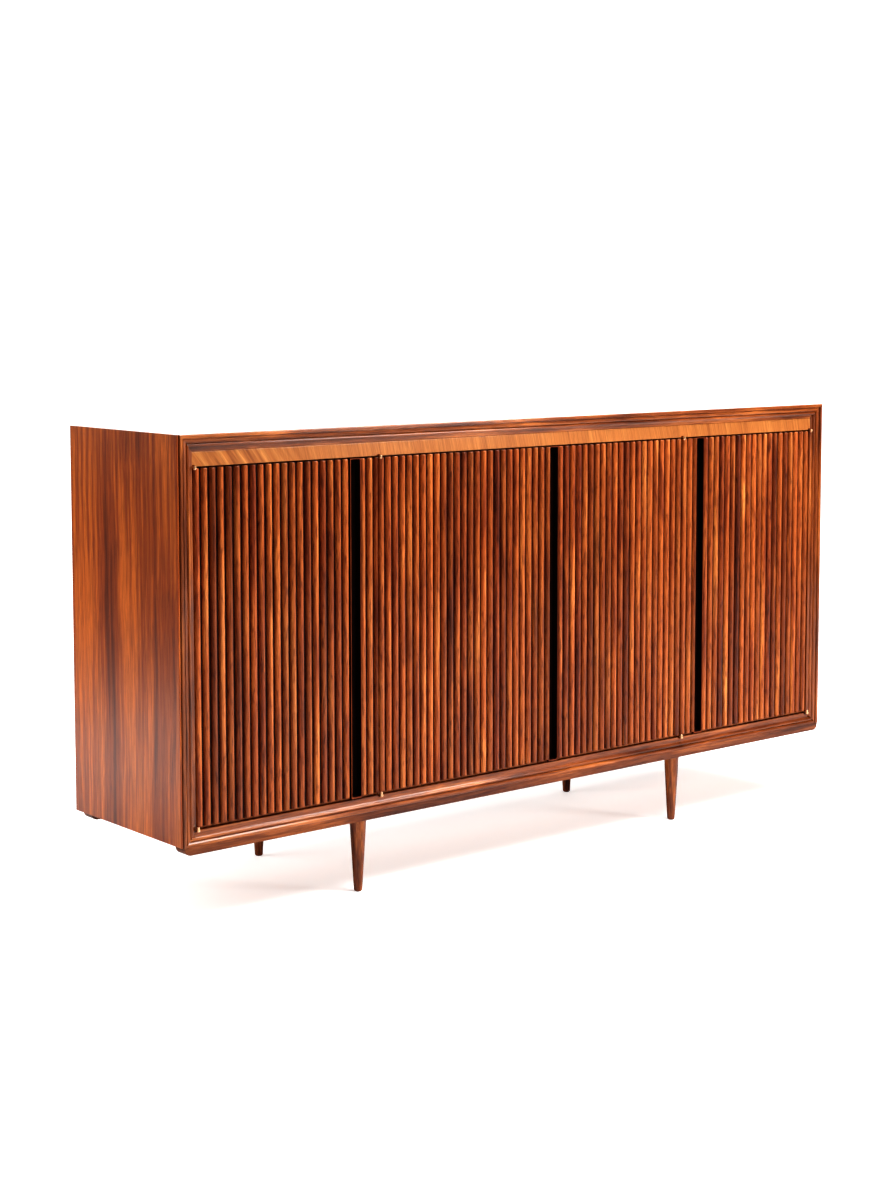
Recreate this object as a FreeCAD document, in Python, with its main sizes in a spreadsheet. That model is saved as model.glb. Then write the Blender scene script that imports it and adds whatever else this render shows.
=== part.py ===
"""A long sideboard on four turned legs: a mitred moulding frame round four doors faced with vertical reeds.

Frame: X along the length, Y from front (minus) to back (plus), Z up. The origin is on the ground under
the middle of the case. Millimetres throughout.
"""
import FreeCAD, Part
import math
import os
import Sketcher

CELLS = {
    # overall case
    "half_width": 1000.0, "half_depth": 217.5, "overall": 1032.0, "underside": 178.5, "panel": 20.0,
    "floor_panel": 28.0,
    # back panel, held in a rabbet of the side and top panels
    "back_thick": 6.0, "back_sink": 8.0, "rabbet": 10.0, "back_low": 184.0,
    # front frame moulding: distances from its outer edge, then depths from the front plane
    "frame_inset": 4.5, "side_set_back": 3.0, "frame_wide": 36.0, "frame_deep": 24.0, "arris": 2.5,
    "band": 7.6, "quirk_floor": 8.4, "quirk_end": 10.2, "slope_start": 10.8, "slope_end": 18.6,
    "bead_start": 19.2, "bead_end": 28.2, "lip_start": 29.6,
    "quirk_deep": 3.4, "slope_top": 2.2, "slope_deep": 5.0, "bead_in": 7.2, "bead_out": 9.2,
    "bead_round": 4.8, "lip_deep": 9.8, "lip_edge": 10.6, "slope_break": 16.0, "break_deep": 2.6,
    # the shallow groove between each side panel and the frame
    "seam": 1.3, "seam_deep": 6.0,
    # its lower member has no outer band and a wider lip
    "low_cut": 10.8, "low_end": 40.8,
    # frieze board and hidden rail over the doors
    "frieze_foot": 965.0, "frieze_front": 10.6, "frieze_back": 34.0, "frieze_round": 2.5,
    "top_rail_thick": 16.0,
    # base rails and legs
    "leg_top": 161.0, "rail_deep": 36.0, "rail_front_half": 994.0, "rail_back_half": 988.0,
    "rail_round": 16.0, "rail_back_gap": 11.0, "soft_edge": 1.0, "round_edge": 2.0,
    "leg_left": 533.0, "leg_right": 457.0, "leg_axis": 18.8, "leg_top_round": 18.7,
    "leg_foot_round": 9.6, "foot_flat": 4.6, "foot_curve": 5.0,
    "stud_round": 5.0, "stud_bore": 5.05, "stud_low": 143.0, "stud_high": 190.0, "bore_low": 141.0,
    "bore_high": 192.0,
    # doors: a core panel, reeds on its face, a finger channel let into three of them
    "door_low": 211.5, "door_high": 962.0, "core_front": 16.0, "core_back": 36.0,
    "post": 479.5, "hinge_gap": 1.0, "free_gap": 2.6, "middle_gap": 1.8,
    "reed_round": 7.3, "reed_pitch": 19.8, "reed_low": 215.0, "reed_high": 961.4, "reed_least": 4.7,
    "reed_end": 2.4, "reed_clear": 0.2,
    "pull_side": 542.0, "pull_middle": 44.0, "pull_half": 14.2, "pull_front": 9.6, "pull_sole": 30.5,
    "slot_half": 12.7, "slot_round": 4.0, "slot_sole": 27.0, "slot_low": 3.0, "slot_high": 1.6,
    # pivot hinges
    "pin_ahead": 4.2, "pin_inside": 1.0, "eye_round": 4.1, "pin_round": 1.4, "eye_hole": 1.45,
    "leaf_thick": 1.15, "leaf_half": 1.8, "leaf_length": 26.0, "barrel_round": 2.8,
    "barrel_high": 3.2, "barrel_low": 5.4, "barrel_dome": 1.2, "pin_short": 0.6, "cap_round": 3.4,
    "cap_high": 1.4,
    "notch_half": 4.4, "notch_high": 3.4, "notch_deep": 8.0,
    # inside: posts, shelves, pegs, catches
    "wall_half": 9.0, "post_front": 37.0, "shelf_low": 592.0, "shelf_thick": 18.0,
    "shelf_front": 52.0, "shelf_clear": 0.5,
    "peg_round": 2.5, "peg_hole": 2.55, "peg_in": 9.0, "peg_out": 8.0, "peg_ahead": 45.0,
    "catch_long": 40.0, "catch_deep": 14.0, "catch_high": 13.0, "catch_edge": 12.0,
    "strike_thick": 1.2, "strike_high": 12.0, "strike_gap": 0.4,
    # back screws
    "screw_head": 3.6, "screw_shank": 1.8, "screw_bore": 1.85, "screw_long": 18.0, "screw_head_high": 1.3,
    "screw_edge": 5.0, "screw_pitch": 310.0, "screw_rise": 206.0,
}

doc = FreeCAD.newDocument("sideboard")
sheet = doc.addObject("Spreadsheet::Sheet", "Sizes")
for row, (alias, size) in enumerate(CELLS.items(), start=1):
    sheet.set(f"A{row}", alias)
    sheet.set(f"B{row}", repr(size))
    sheet.setAlias(f"B{row}", alias)
doc.recompute()

NODES = []


def formula(text):
    """A sum of cells and numbers, such as "half_width - panel", as a FreeCAD expression."""
    return " ".join(f"Sizes.{word}" if word in CELLS else word for word in text.split())


def number(text):
    """The same sum worked out from the sheet."""
    total, sign = 0.0, 1.0
    for word in text.split():
        if word in ("+", "-"):
            sign = 1.0 if word == "+" else -1.0
        else:
            total += sign * float(sheet.get(word) if word in CELLS else word)
    return total


def bind(thing, **sums):
    """Ties properties to sums of cells; x, y and z stand for the placement."""
    for name, text in sums.items():
        path = f"Placement.Base.{name}" if name in ("x", "y", "z") else name
        thing.setExpression(path, formula(text))
    return thing


def node(thing, label):
    """Marks an object as a sub-part and gives it the name its file takes."""
    thing.Label = label
    NODES.append(thing)
    return thing


def box(x, y, z, length, width, high):
    thing = doc.addObject("Part::Box", "Box")
    return bind(thing, x=x, y=y, z=z, Length=length, Width=width, Height=high)


def rod(x, y, z, radius, high, direction="z"):
    """A cylinder from a point, along +Z, +X or +Y."""
    thing = doc.addObject("Part::Cylinder", "Rod")
    turn = {"z": ((0, 0, 1), 0), "x": ((0, 1, 0), 90), "y": ((1, 0, 0), -90)}[direction]
    thing.Placement = FreeCAD.Placement(FreeCAD.Vector(), FreeCAD.Rotation(FreeCAD.Vector(*turn[0]), turn[1]))
    return bind(thing, x=x, y=y, z=z, Radius=radius, Height=high)


def together(things, kind="Part::MultiFuse"):
    """One object from many: fused, or side by side as a Part::Compound."""
    thing = doc.addObject(kind, "Group")
    if kind == "Part::Compound":
        thing.Links = things
    else:
        thing.Shapes = things
    return thing


def cut(base, tools):
    thing = doc.addObject("Part::Cut", "Cut")
    thing.Base = base
    thing.Tool = tools[0] if len(tools) == 1 else together(tools, "Part::Compound")
    return thing


def softened(thing, radius, chosen):
    """The same solid with every edge that a test picks rounded over."""
    doc.recompute()
    rounded = doc.addObject("Part::Fillet", "Softened")
    rounded.Base = thing
    size = number(radius)
    picked = [index for index, edge in enumerate(thing.Shape.Edges, start=1) if chosen(edge.BoundBox)]
    if not picked:
        raise SystemExit(f"{thing.Label}: no edge to soften")
    rounded.Edges = [(index, size, size) for index in picked]
    return rounded


def lies_at(low, high, place):
    """True for an edge whose extent along one axis is a single given place."""
    return abs(low - number(place)) < 1e-6 and abs(high - number(place)) < 1e-6


def arc_middle(start, end, radius, side):
    """The halfway point of the short arc from start to end that bulges to one side of their chord."""
    chord = end - start
    rise = radius - math.sqrt(max(radius * radius - chord.Length ** 2 / 4, 0.0))
    across = FreeCAD.Vector(-chord.y, chord.x, 0).normalize()
    return (start + end) * 0.5 + across * (rise * side)


def sketch_on(body, role, loops, name="Outline"):
    """A closed sketch on one of the body's own origin planes.

    Each loop is (corners, arcs): the corners are pairs of sums of cells, and an arc's key is the corner
    that it leaves, its value a radius cell and the side it bulges to.
    """
    sketch = body.newObject("Sketcher::SketchObject", name)
    plane = [item for item in body.Origin.OriginFeatures if item.Role == role][0]
    sketch.AttachmentSupport = [(plane, "")]
    sketch.MapMode = "FlatFace"
    for corners, arcs in loops:
        spots = [FreeCAD.Vector(number(across), number(up), 0) for across, up in corners]
        first = sketch.GeometryCount
        for index, start in enumerate(spots):
            end = spots[(index + 1) % len(spots)]
            if index in arcs:
                cell, side = arcs[index]
                middle = arc_middle(start, end, number(cell), side)
                sketch.addGeometry(Part.Arc(start, middle, end), False)
            else:
                sketch.addGeometry(Part.LineSegment(start, end), False)
        count = len(spots)
        # an arc may be stored the other way round, so each end is found by its place
        for index, spot in enumerate(spots):
            here = nearest_end(sketch, first + index, spot)
            before = nearest_end(sketch, first + (index - 1) % count, spot)
            sketch.addConstraint(Sketcher.Constraint("Coincident", *before, *here))
            for axis, text, place in (("X", corners[index][0], spot.x), ("Y", corners[index][1], spot.y)):
                if abs(place) < 1e-9:
                    line = -2 if axis == "X" else -1
                    sketch.addConstraint(Sketcher.Constraint("PointOnObject", *here, line))
                    continue
                held = sketch.addConstraint(Sketcher.Constraint("Distance" + axis, -1, 1, *here, place))
                sketch.setExpression(f"Constraints[{held}]", formula(text))
        for index, (cell, side) in arcs.items():
            held = sketch.addConstraint(Sketcher.Constraint("Radius", first + index, number(cell)))
            sketch.setExpression(f"Constraints[{held}]", formula(cell))
    return sketch


def nearest_end(sketch, edge, spot):
    ends = [(sketch.getPoint(edge, end) - spot).Length for end in (1, 2)]
    return edge, 1 if ends[0] <= ends[1] else 2


def pad(body, sketch, length):
    thing = body.newObject("PartDesign::Pad", "Pad")
    thing.Profile = sketch
    return bind(thing, Length=length)


def pocket(body, sketch, length):
    """Cuts from the sketch's plane into the solid, and makes sure that it did."""
    doc.recompute()
    before = body.Shape.Volume
    thing = body.newObject("PartDesign::Pocket", "Pocket")
    thing.Profile = sketch
    bind(thing, Length=length)
    doc.recompute()
    if body.Shape.Volume > before - 1.0:
        thing.Reversed = True
        doc.recompute()
    if body.Shape.Volume > before - 1.0:
        raise SystemExit(f"{body.Label}: the pocket cut nothing")
    return thing


def new_body(label, **place):
    return node(bind(doc.addObject("PartDesign::Body", "Body"), **place), label)


# --- the case ---------------------------------------------------------------------------------------

LEG_SPOTS = {"front_left": ("- leg_left", "- half_depth + leg_axis"),
             "front_right": ("leg_right", "- half_depth + leg_axis"),
             "back_left": ("- leg_left", "half_depth - rail_back_gap - leg_axis"),
             "back_right": ("leg_right", "half_depth - rail_back_gap - leg_axis")}
PEG_ROWS = ("- half_depth + shelf_front + peg_ahead",
            "half_depth - back_sink - back_thick - peg_ahead")


def stud_holes():
    return [rod(x, y, "bore_low", "stud_bore", "bore_high - bore_low") for x, y in LEG_SPOTS.values()]


def peg_holes(x, depth):
    """Blind holes for shelf pegs, one for each row, running from a plane X along +X."""
    return [rod(x, y, "shelf_low - peg_round", "peg_hole", depth, "x") for y in PEG_ROWS]


BACK_FACE = "half_depth - back_sink"


def screw_spots():
    """Where the back is screwed on: seven places along its top and foot, three up each side."""
    low, high = "back_low + screw_edge", "overall - panel + rabbet - screw_edge"
    spots = [(f"{step} * screw_pitch", z) for step in range(-3, 4) for z in (low, high)]
    for step in range(1, 4):
        for x in ("- half_width + rabbet + screw_edge", "half_width - rabbet - screw_edge"):
            spots.append((x, f"back_low + {step} * screw_rise"))
    return spots


def screw_holes():
    return [rod(x, f"{BACK_FACE} - screw_long - 1", z, "screw_bore", "screw_long + 2", "y")
            for x, z in screw_spots()]


def side_panel(label, left):
    """Full-height side with a rabbet for the frame, a groove beside it, and a rabbet for the back panel."""
    outer = "- half_width" if left else "half_width - panel"
    tongue = "- half_width + frame_inset" if left else "half_width - panel"
    back_tongue = "- half_width + rabbet" if left else "half_width - panel"
    slab = box(outer, "- half_depth + side_set_back", "underside", "panel",
               "half_depth + half_depth - side_set_back", "overall - underside")
    front = box(tongue, "- half_depth", "underside", "panel - frame_inset", "frame_deep",
                "overall - underside")
    back = box(back_tongue, "half_depth - back_sink - back_thick", "back_low", "rabbet",
               "back_sink + back_thick", "overall - panel + rabbet - back_low")
    seam = box("- half_width + frame_inset - seam" if left else "half_width - frame_inset",
               "- half_depth", "underside", "seam", "side_set_back + seam_deep", "overall - underside")
    holes = peg_holes("- half_width + panel - peg_in" if left else "half_width - panel", "peg_in")
    whole = cut(slab, [front, seam, back] + holes + screw_holes())
    face = "- half_width" if left else "half_width"
    return node(softened(whole, "soft_edge", lambda edge: lies_at(edge.XMin, edge.XMax, face)), label)


def case_panels():
    side_panel("side_panel_left", True)
    side_panel("side_panel_right", False)
    inner, span = "- half_width + panel", "half_width + half_width - panel - panel"
    back_face = "half_depth - back_sink - back_thick"
    top = box(inner, "- half_depth + frame_deep", "overall - panel", span,
              "half_depth + half_depth - frame_deep", "panel")
    rabbet = box(inner, back_face, "overall - panel", span, "back_sink + back_thick", "rabbet")
    node(cut(top, [rabbet] + screw_holes()), "top_panel")
    floor = box(inner, "- half_depth + frame_deep", "underside", span,
                "half_depth + half_depth - frame_deep - back_sink - back_thick", "floor_panel")
    node(cut(floor, stud_holes() + screw_holes()), "bottom_panel")
    back = box("- half_width + rabbet", back_face, "back_low", "half_width + half_width - rabbet - rabbet",
               "back_thick", "overall - panel + rabbet - back_low")
    node(cut(back, screw_holes()), "back_panel")
    for side, middle in (("left", "- post"), ("right", "post")):
        low = f"{middle} - wall_half"
        thick = "wall_half + wall_half"
        post = box(low, "- half_depth + post_front", "underside + floor_panel", thick,
                   "half_depth + half_depth - post_front - back_sink - back_thick",
                   "overall - panel - underside - floor_panel")
        notch = box(low, "- half_depth + post_front", "frieze_foot", thick,
                    "frieze_back + top_rail_thick - post_front", "overall - panel - frieze_foot")
        holes = [rod(low, y, "shelf_low - peg_round", "peg_hole", thick, "x") for y in PEG_ROWS]
        whole = cut(post, [notch] + holes)
        node(softened(whole, "soft_edge", front_edge("- half_depth + post_front")), f"partition_{side}")
    node(box(inner, "- half_depth + frieze_back", "frieze_foot", span, "top_rail_thick",
             "overall - panel - frieze_foot"), "top_rail")


def front_edge(place):
    """Picks the long edges of a board's front face."""
    def chosen(edge):
        return lies_at(edge.YMin, edge.YMax, place) and max(edge.XLength, edge.ZLength) > 100.0
    return chosen


def shelves():
    bays = {"left": ("- half_width + panel", "- post - wall_half"),
            "centre": ("- post + wall_half", "post - wall_half"),
            "right": ("post + wall_half", "half_width - panel")}
    pegs = []
    for name, (low, high) in bays.items():
        length = f"{high} {negated(low)} - shelf_clear - shelf_clear"
        board = box(f"{low} + shelf_clear", "- half_depth + shelf_front", "shelf_low", length,
                    "half_depth + half_depth - shelf_front - back_sink - back_thick - shelf_clear",
                    "shelf_thick")
        node(softened(board, "round_edge", front_edge("- half_depth + shelf_front")), f"shelf_{name}")
        into_low = "peg_in" if name == "left" else "wall_half - shelf_clear"
        into_high = "peg_in" if name == "right" else "wall_half - shelf_clear"
        for y in PEG_ROWS:
            pegs.append(rod(f"{low} {negated(into_low)}", y, "shelf_low - peg_round", "peg_round",
                            f"{into_low} + peg_out", "x"))
            pegs.append(rod(f"{high} - peg_out", y, "shelf_low - peg_round", "peg_round",
                            f"{into_high} + peg_out", "x"))
    node(together(pegs, "Part::Compound"), "shelf_pegs")


def negated(text):
    """The same sum with every sign turned, ready to follow another sum."""
    words = text.split()
    if words[0] not in ("+", "-"):
        words.insert(0, "+")
    return " ".join({"+": "-", "-": "+"}.get(word, word) for word in words)


# --- the front frame --------------------------------------------------------------------------------

PROFILE = [("quirk_end", "quirk_deep"), ("slope_start", "slope_top"), ("slope_break", "break_deep"),
           ("slope_end", "slope_deep"), ("bead_start", "bead_in"), ("bead_end", "bead_out"),
           ("lip_start", "lip_deep")]
BEAD = ("bead_start", "bead_in")
FRAME_STEPS = [("0", "frame_deep"), ("0", "arris"), ("arris", "0"), ("band", "0"),
               ("quirk_floor", "quirk_deep")] + PROFILE + [("frame_wide", "lip_edge"),
                                                           ("frame_wide", "frame_deep")]
LOW_STEPS = [("low_cut", "frame_deep"), ("low_cut", "slope_top")] + PROFILE[2:] + [
    ("low_end", "lip_edge"), ("low_end", "frame_deep")]


def frame_piece(place, role, steps, length, turned, ends):
    """One moulding: its section padded along its run, then mitred by cutting off its corners."""
    body = doc.addObject("PartDesign::Body", "Moulding")
    bind(body, **place)
    corners = []
    for from_edge, deep in steps:
        across = f"frame_wide - {from_edge}" if turned else from_edge
        if steps is LOW_STEPS:
            across = f"{from_edge} - low_cut"
        corners.append((deep, across) if role == "YZ_Plane" else (across, deep))
    outward = -1 if (role == "YZ_Plane") == turned else 1
    arcs = {steps.index(BEAD): ("bead_round", outward)}
    if steps is FRAME_STEPS:
        arcs[1] = ("arris", outward)
    pad(body, sketch_on(body, role, [(corners, arcs)], "Section"), length)
    pocket(body, sketch_on(body, "XZ_Plane", ends, "Mitres"), "frame_deep")
    return body


def front_frame():
    run = "half_width + half_width - frame_inset - frame_inset"
    high = "overall - underside"
    over = "frame_wide + 1"
    top = frame_piece({"x": "- half_width + frame_inset", "y": "- half_depth", "z": "overall - frame_wide"},
                      "YZ_Plane", FRAME_STEPS, run, True,
                      [([("- 1", over), ("- 1", "- 1"), (over, "- 1")], {}),
                       ([(f"{run} + 1", over), (f"{run} + 1", "- 1"),
                         (f"{run} - frame_wide - 1", "- 1")], {})])
    node(top, "frame_top")
    low_high = "low_end - low_cut"
    for side in ("left", "right"):
        left = side == "left"
        x = "- half_width + frame_inset" if left else "half_width - frame_inset - frame_wide"
        outer, inner = ("- 1", "frame_wide + 1") if left else ("frame_wide + 1", "- 1")
        low_outer = f"frame_wide {negated(low_high)} - 1" if left else f"{low_high} + 1"
        head = [(outer, f"{high} + 1"), (inner, f"{high} - frame_wide - 1"), (inner, f"{high} + 1")]
        foot = [(low_outer, "- 1"), (inner, "- 1"), (inner, f"{low_high} + 1")]
        node(frame_piece({"x": x, "y": "- half_depth", "z": "underside"}, "XY_Plane", FRAME_STEPS, high,
                         not left, [(head, {}), (foot, {})]), f"frame_{side}")
    low_x = "- half_width + frame_inset + frame_wide - low_end + low_cut"
    low_run = f"{run} - frame_wide - frame_wide + low_end - low_cut + low_end - low_cut"
    over = f"{low_high} + 1"
    low = frame_piece({"x": low_x, "y": "- half_depth", "z": "underside"}, "YZ_Plane", LOW_STEPS, low_run,
                      False, [([("- 1", "- 1"), (over, over), ("- 1", over)], {}),
                              ([(f"{low_run} + 1", "- 1"), (f"{low_run} + 1", over),
                                (f"{low_run} - low_end + low_cut - 1", over)], {})])
    node(cut(low, notches(f"underside + {low_high} - notch_high") + stud_holes()), "frame_bottom")


# --- pivots: where each door hangs ------------------------------------------------------------------

FRAME_INNER = "half_width - frame_inset - frame_wide"
DOORS = {  # hinge side, the hinge-side edge, the free edge, and the finger channel's middle if it has one
    "door_1": ("left", f"{negated(FRAME_INNER)} + hinge_gap", "- post - free_gap", "- pull_side"),
    "door_2": ("left", "- post + hinge_gap", "- middle_gap", None),
    "door_3": ("right", "post - hinge_gap", "middle_gap", "pull_middle"),
    "door_4": ("right", f"{FRAME_INNER} - hinge_gap", "post + free_gap", "pull_side"),
}
PIN_Y = "- half_depth + pin_ahead"
LEDGE = "underside + low_end - low_cut"


def pin_x(door):
    side, hinge_edge = DOORS[door][:2]
    return f"{hinge_edge} {'+' if side == 'left' else '-'} pin_inside"


def notches(foot):
    """The small square notches behind the pivots, in the front edge of the board that holds them."""
    return [box(f"{pin_x(door)} - notch_half", "- half_depth", foot, "notch_half + notch_half",
                "frieze_front + notch_deep", "notch_high") for door in DOORS]


def frieze():
    """The board over the doors, with a rounded upper arris and a notch over each pivot."""
    body = bind(doc.addObject("PartDesign::Body", "Board"), x=negated(FRAME_INNER), y="- half_depth",
                z="frieze_foot")
    high = "overall - frame_wide - frieze_foot"
    corners = [("frieze_back", "0"), ("frieze_back", high), ("frieze_front + frieze_round", high),
               ("frieze_front", f"{high} - frieze_round"), ("frieze_front", "0")]
    pad(body, sketch_on(body, "YZ_Plane", [(corners, {2: ("frieze_round", -1)})], "Section"),
        f"{FRAME_INNER} + {FRAME_INNER}")
    node(cut(body, notches("frieze_foot")), "frieze_board")


def leaf(door, foot):
    """A pivot leaf: a strip along the door's edge that ends in a round eye ahead of the reeds."""
    x = pin_x(door)
    eye = rod(x, PIN_Y, foot, "eye_round", "leaf_thick")
    strip = box(f"{x} - leaf_half", PIN_Y, foot, "leaf_half + leaf_half", "leaf_length", "leaf_thick")
    return [eye, strip]


def fixed_pivots():
    """On the case: a leaf under the frieze and one on the lower frame for each door, each with its pin."""
    leaves = []
    for door in DOORS:
        x = pin_x(door)
        pin = rod(x, PIN_Y, "door_high - barrel_high + pin_short", "pin_round",
                  "frieze_foot - door_high + barrel_high - pin_short")
        cap = rod(x, PIN_Y, "frieze_foot", "cap_round", "cap_high")
        leaves.append(together(leaf(door, "frieze_foot - leaf_thick") + [pin, cap]))
        pin = rod(x, PIN_Y, LEDGE, "pin_round", f"door_low + barrel_low - pin_short {negated(LEDGE)}")
        cap = rod(x, PIN_Y, f"{LEDGE} - cap_high", "cap_round", "cap_high")
        leaves.append(together(leaf(door, LEDGE) + [pin, cap]))
    node(together(leaves, "Part::Compound"), "fixed_pivots")


def door_pivots(door):
    """The door's own two leaves on its top and bottom edges, each with a domed barrel bored for its pin."""
    x = pin_x(door)
    upper_end, lower_end = "door_high - barrel_high", "door_low + barrel_low"
    upper_barrel = rod(x, PIN_Y, upper_end, "barrel_round", "barrel_high")
    lower_barrel = rod(x, PIN_Y, "door_low", "barrel_round", "barrel_low")
    upper_barrel = softened(upper_barrel, "barrel_dome",
                            lambda edge: lies_at(edge.ZMin, edge.ZMax, upper_end))
    lower_barrel = softened(lower_barrel, "barrel_dome",
                            lambda edge: lies_at(edge.ZMin, edge.ZMax, lower_end))
    upper = leaf(door, "door_high") + [upper_barrel]
    upper_bore = rod(x, PIN_Y, "door_high - barrel_high", "eye_hole", "barrel_high + leaf_thick")
    lower = leaf(door, "door_low - leaf_thick") + [lower_barrel]
    lower_bore = rod(x, PIN_Y, "door_low - leaf_thick", "eye_hole", "barrel_low + leaf_thick - pin_short")
    node(together([cut(together(upper), [upper_bore]), cut(together(lower), [lower_bore])],
                  "Part::Compound"), f"{door}_pivots")


# --- doors ------------------------------------------------------------------------------------------


def door_core(door):
    """The panel behind the reeds, trenched where a finger channel is let in."""
    side, hinge_edge, free_edge, pull = DOORS[door]
    low, high = (hinge_edge, free_edge) if side == "left" else (free_edge, hinge_edge)
    slab = box(low, "- half_depth + core_front", "door_low", f"{high} {negated(low)}",
               "core_back - core_front", "door_high - door_low")
    if pull is None:
        return node(slab, f"{door}_core")
    trench = box(f"{pull} - pull_half", "- half_depth + core_front", "door_low", "pull_half + pull_half",
                 "pull_sole - core_front", "door_high - door_low")
    return node(cut(slab, [trench]), f"{door}_core")


def door_pull(door):
    """The finger channel: a bar let into the core, routed with one long slot that has rounded corners."""
    pull = DOORS[door][3]
    high = "door_high - door_low"
    body = new_body(f"{door}_pull", x=f"{pull} - pull_half", y="- half_depth + pull_front", z="door_low")
    bar = [("0", "0"), ("pull_half + pull_half", "0"), ("pull_half + pull_half", high), ("0", high)]
    block = pad(body, sketch_on(body, "XZ_Plane", [(bar, {})], "Bar"), "pull_sole - pull_front")
    block.Reversed = True
    left, right = "pull_half - slot_half", "pull_half + slot_half"
    low, top = "slot_low", f"{high} - slot_high"
    near_left, near_right = f"{left} + slot_round", f"{right} - slot_round"
    near_low, near_top = f"{low} + slot_round", f"{top} - slot_round"
    slot = [(near_left, low), (near_right, low), (right, near_low), (right, near_top), (near_right, top),
            (near_left, top), (left, near_top), (left, near_low)]
    corners = {index: ("slot_round", -1) for index in (1, 3, 5, 7)}
    pocket(body, sketch_on(body, "XZ_Plane", [(slot, corners)], "Slot"), "slot_sole - pull_front")


def half_reed(length):
    """A half-round bar with softened ends, flat side at Y = 0, round side to -Y, from Z = 0."""
    radius = number("reed_round")
    bar = Part.makeCylinder(radius, length)
    ends = [edge for edge in bar.Edges if edge.BoundBox.ZLength < 1e-6]
    bar = bar.makeFillet(number("reed_end"), ends)
    behind = Part.makeBox(4 * radius, 2 * radius, length + 2, FreeCAD.Vector(-2 * radius, 0, -1))
    return bar.cut(behind).removeSplitter()


def clipped(reed, x, low, high):
    """The part of a reed between two planes X, or None where nothing wide enough is left."""
    radius = number("reed_round")
    if x - radius >= low - 1e-6 and x + radius <= high + 1e-6:
        return reed
    left, right = max(x - radius, low), min(x + radius, high)
    if right - left < number("reed_least"):
        return None
    keep = Part.makeBox(right - left, 4 * radius, number("overall"), FreeCAD.Vector(left, -2 * radius, 0))
    keep.translate(FreeCAD.Vector(0, number("- half_depth + core_front"), 0))
    return reed.common(keep)


def reed_middles(low, high):
    """Middles of the reeds between two planes X: a wide field shared evenly, a narrow one filled from -X."""
    pitch = number("reed_pitch")
    count = round((high - low) / pitch)
    if count > 4:
        share = (high - low) / count
        return [low + share * (index + 0.5) for index in range(count)]
    count = math.ceil((high - low) / pitch)
    return [low + number("reed_round") + pitch * index for index in range(count)]


def door_reeds(door):
    """The reeds of each field of a door, trimmed where the last one runs past the field's end."""
    side, hinge_edge, free_edge, pull = DOORS[door]
    low, high = sorted((number(hinge_edge), number(free_edge)))
    fields = [(low, high)]
    if pull is not None:
        clear = number("pull_half + reed_clear")
        fields = [(low, number(pull) - clear), (number(pull) + clear, high)]
    foot = number("reed_low")
    plain = half_reed(number("reed_high") - foot)
    solids = []
    for start, end in fields:
        for x in reed_middles(start, end):
            reed = plain.copy()
            reed.translate(FreeCAD.Vector(x, number("- half_depth + core_front"), foot))
            piece = clipped(reed, x, start, end)
            if piece is not None:
                solids.extend(piece.Solids)
    thing = doc.addObject("Part::Feature", "Reeds")
    thing.Shape = Part.makeCompound(solids)
    node(thing, f"{door}_reeds")


def catch_low_x(door):
    side, _, free_edge, _ = DOORS[door]
    return f"{free_edge} - catch_edge - catch_long" if side == "left" else f"{free_edge} + catch_edge"


def door_strike(door):
    """A steel plate on the back of the door, facing the magnet of its catch."""
    node(box(catch_low_x(door), "- half_depth + core_back", "door_low + strike_gap", "catch_long",
             "strike_thick", "strike_high"), f"{door}_strike")


def catches():
    """A magnet catch on the case floor behind the free edge of each door."""
    blocks = [box(catch_low_x(door), "- half_depth + core_back + strike_thick + strike_gap",
                  "underside + floor_panel", "catch_long", "catch_deep", "catch_high") for door in DOORS]
    node(together(blocks, "Part::Compound"), "door_catches")


# --- base -------------------------------------------------------------------------------------------


def base_rail(label, half, y):
    """A rail under the case with its lower corners rounded, bored for the leg studs."""
    body = doc.addObject("PartDesign::Body", "Body")
    bind(body, x=f"- {half}", y=y, z="leg_top")
    high = "underside - leg_top"
    long = f"{half} + {half}"
    corners = [("rail_round", "0"), (f"{long} - rail_round", "0"), (long, "rail_round"), (long, high),
               ("0", high), ("0", "rail_round")]
    block = pad(body, sketch_on(body, "XZ_Plane",
                                [(corners, {1: ("rail_round", -1), 5: ("rail_round", -1)})], "Outline"),
                "rail_deep")
    block.Reversed = True
    upper = number("underside")

    def lower_edge(edge):
        near = lies_at(edge.YMin, edge.YMax, y) or lies_at(edge.YMin, edge.YMax, f"{y} + rail_deep")
        return near and edge.ZMin < upper - 1e-6

    node(cut(softened(body, "soft_edge", lower_edge), stud_holes()), label)


def leg(name):
    """A turned, tapered leg with a rounded foot, bored from the top for its stud."""
    x, y = LEG_SPOTS[name]
    body = new_body(f"leg_{name}", x=x, y=y)
    corners = [("0", "0"), ("foot_flat", "0"), ("leg_foot_round", "foot_curve"),
               ("leg_top_round", "leg_top"), ("stud_bore", "leg_top"), ("stud_bore", "bore_low"),
               ("0", "bore_low")]
    turning = body.newObject("PartDesign::Revolution", "Turning")
    turning.Profile = sketch_on(body, "XZ_Plane", [(corners, {1: ("foot_curve", -1)})], "Half")
    turning.ReferenceAxis = (turning.Profile[0], ["V_Axis"])
    turning.Angle = 360.0


def base():
    base_rail("base_rail_front", "rail_front_half", "- half_depth")
    base_rail("base_rail_back", "rail_back_half", "half_depth - rail_back_gap - rail_deep")
    for name in LEG_SPOTS:
        leg(name)
    node(together([rod(x, y, "stud_low", "stud_round", "stud_high - stud_low")
                   for x, y in LEG_SPOTS.values()], "Part::Compound"), "leg_studs")


# --- back screws ------------------------------------------------------------------------------------


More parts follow.
